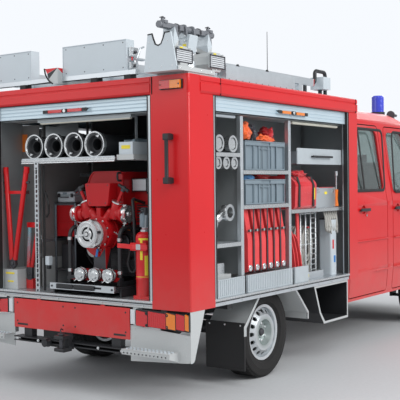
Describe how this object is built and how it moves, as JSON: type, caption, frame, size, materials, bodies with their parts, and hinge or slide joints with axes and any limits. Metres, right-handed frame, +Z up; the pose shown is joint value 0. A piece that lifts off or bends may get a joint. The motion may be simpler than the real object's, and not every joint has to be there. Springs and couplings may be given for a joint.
{
  "type": "small fire engine with crew cab and box body",
  "caption": "Small van-based fire engine: crew cab, box body with open roller shutters, portable pump on a slide, light mast, roof boxes and ladder.",
  "frame": {"origin": "on the ground, half way along the vehicle and on its centre line", "axes": "+X towards the front, +Y to the left, +Z up"},
  "size_m": [5.92, 2.37, 2.925],
  "materials": {
    "red_paint": "gloss",
    "chassis_black": "satin",
    "cast_iron": "rough",
    "steel_silver": "satin",
    "aluminium": "satin",
    "tyre": "matt",
    "black_plastic": "matt",
    "black_rubber": "matt",
    "clear_glass": "clear",
    "lamp_plastic": "gloss",
    "seat_cloth": "woven",
    "shutter_white": "satin",
    "hose_black": "matt",
    "kit_grey": "matt",
    "floodlight_grey": "satin"
  },
  "bodies": {
    "vehicle": {"chassis_frame": "chassis_black", "engine_block": "cast_iron", "front_axle": "chassis_black", "rear_axle": "chassis_black", "underfloor_parts": "steel_silver", "cab_shell": "red_paint", "windscreen": "clear_glass", "headlamps": "clear_glass", "front_bumper": "black_plastic", "seats": "seat_cloth", "dashboard": "black_plastic", "roof_signals": "black_plastic", "body_walls": "red_paint", "body_roof": "red_paint", "body_floor": "aluminium", "body_shelving": "aluminium", "shutter_left": "shutter_white", "shutter_right": "shutter_white", "shutter_rear": "shutter_white", "rear_panel": "red_paint", "rear_steps": "aluminium", "tail_lamps": "lamp_plastic", "grab_handles": "black_plastic", "tow_hitch": "chassis_black", "mudguards": "aluminium", "mud_flaps": "black_rubber", "side_lockers": "aluminium", "roof_boxes": "aluminium", "ladder": "aluminium", "mast_base": "aluminium", "stowed_hoses": "hose_black", "stowed_kit": "kit_grey"},
    "knuckle_left": {"knuckle_left": "cast_iron"},
    "knuckle_right": {"knuckle_right": "cast_iron"},
    "wheel_front_left": {"rim_front_left": "steel_silver", "tyre_front_left": "tyre"},
    "wheel_front_right": {"rim_front_right": "steel_silver", "tyre_front_right": "tyre"},
    "wheel_rear_left": {"rim_rear_left": "steel_silver", "tyre_rear_left": "tyre"},
    "wheel_rear_right": {"rim_rear_right": "steel_silver", "tyre_rear_right": "tyre"},
    "door_front_left": {"door_front_left": "red_paint", "door_glass_front_left": "clear_glass", "mirror_left": "black_plastic"},
    "door_front_right": {"door_front_right": "red_paint", "door_glass_front_right": "clear_glass", "mirror_right": "black_plastic"},
    "door_rear_left": {"door_rear_left": "red_paint", "door_glass_rear_left": "clear_glass"},
    "door_rear_right": {"door_rear_right": "red_paint", "door_glass_rear_right": "clear_glass"},
    "bonnet": {"bonnet": "red_paint"},
    "mast_stage_1": {"mast_stage_1": "aluminium"},
    "mast_stage_2": {"mast_stage_2": "aluminium"},
    "floodlights": {"floodlights": "floodlight_grey"},
    "pump": {"pump_slide": "aluminium", "pump_engine": "red_paint", "pump_casing": "red_paint"},
    "drawer": {"drawer": "aluminium"}
  },
  "joints": [
    {"name": "steer_left", "type": "hinge", "parent": "vehicle", "child": "knuckle_left", "pos_m": [1.99, 0.69, 0.356], "axis": [0, 0, 1], "range_deg": [-35, 35]},
    {"name": "spin_front_left", "type": "hinge", "parent": "knuckle_left", "child": "wheel_front_left", "pos_m": [1.99, 0.815, 0.356], "axis": [0, 1, 0], "continuous": true},
    {"name": "spin_rear_left", "type": "hinge", "parent": "vehicle", "child": "wheel_rear_left", "pos_m": [-1.56, 0.815, 0.356], "axis": [0, 1, 0], "continuous": true},
    {"name": "open_door_front_left", "type": "hinge", "parent": "vehicle", "child": "door_front_left", "pos_m": [1.88, 0.97011, 1.278], "axis": [0, 0.0533, -0.9986], "range_deg": [0, 70]},
    {"name": "open_door_rear_left", "type": "hinge", "parent": "vehicle", "child": "door_rear_left", "pos_m": [0.78, 0.97011, 1.278], "axis": [0, 0.0533, -0.9986], "range_deg": [0, 70]},
    {"name": "steer_right", "type": "hinge", "parent": "vehicle", "child": "knuckle_right", "pos_m": [1.99, -0.69, 0.356], "axis": [0, 0, 1], "range_deg": [-35, 35]},
    {"name": "spin_front_right", "type": "hinge", "parent": "knuckle_right", "child": "wheel_front_right", "pos_m": [1.99, -0.815, 0.356], "axis": [0, 1, 0], "continuous": true},
    {"name": "spin_rear_right", "type": "hinge", "parent": "vehicle", "child": "wheel_rear_right", "pos_m": [-1.56, -0.815, 0.356], "axis": [0, 1, 0], "continuous": true},
    {"name": "open_door_front_right", "type": "hinge", "parent": "vehicle", "child": "door_front_right", "pos_m": [1.88, -0.97011, 1.278], "axis": [0, 0.0533, 0.9986], "range_deg": [0, 70]},
    {"name": "open_door_rear_right", "type": "hinge", "parent": "vehicle", "child": "door_rear_right", "pos_m": [0.78, -0.97011, 1.278], "axis": [0, 0.0533, 0.9986], "range_deg": [0, 70]},
    {"name": "open_bonnet", "type": "hinge", "parent": "vehicle", "child": "bonnet", "pos_m": [2.203, 0, 1.388], "axis": [0, -1, 0], "range_deg": [0, 55]},
    {"name": "raise_mast_stage_1", "type": "slide", "parent": "vehicle", "child": "mast_stage_1", "axis": [0, 0, 1], "range_m": [0, 1.3]},
    {"name": "raise_mast_stage_2", "type": "slide", "parent": "mast_stage_1", "child": "mast_stage_2", "axis": [0, 0, 1], "range_m": [0, 1.3]},
    {"name": "tilt_floodlights", "type": "hinge", "parent": "mast_stage_2", "child": "floodlights", "pos_m": [-2.64, -0.95, 2.61], "axis": [-1, 0, 0], "range_deg": [0, 120]},
    {"name": "pull_out_pump", "type": "slide", "parent": "vehicle", "child": "pump", "axis": [-1, 0, 0], "range_m": [0, 0.65]},
    {"name": "pull_out_drawer", "type": "slide", "parent": "vehicle", "child": "drawer", "axis": [0, -1, 0], "range_m": [0, 0.42]}
  ],
  "couplings": [
    {"joint": "steer_right", "follows": "steer_left", "ratio": 1},
    {"joint": "raise_mast_stage_2", "follows": "raise_mast_stage_1", "ratio": 1}
  ]
}
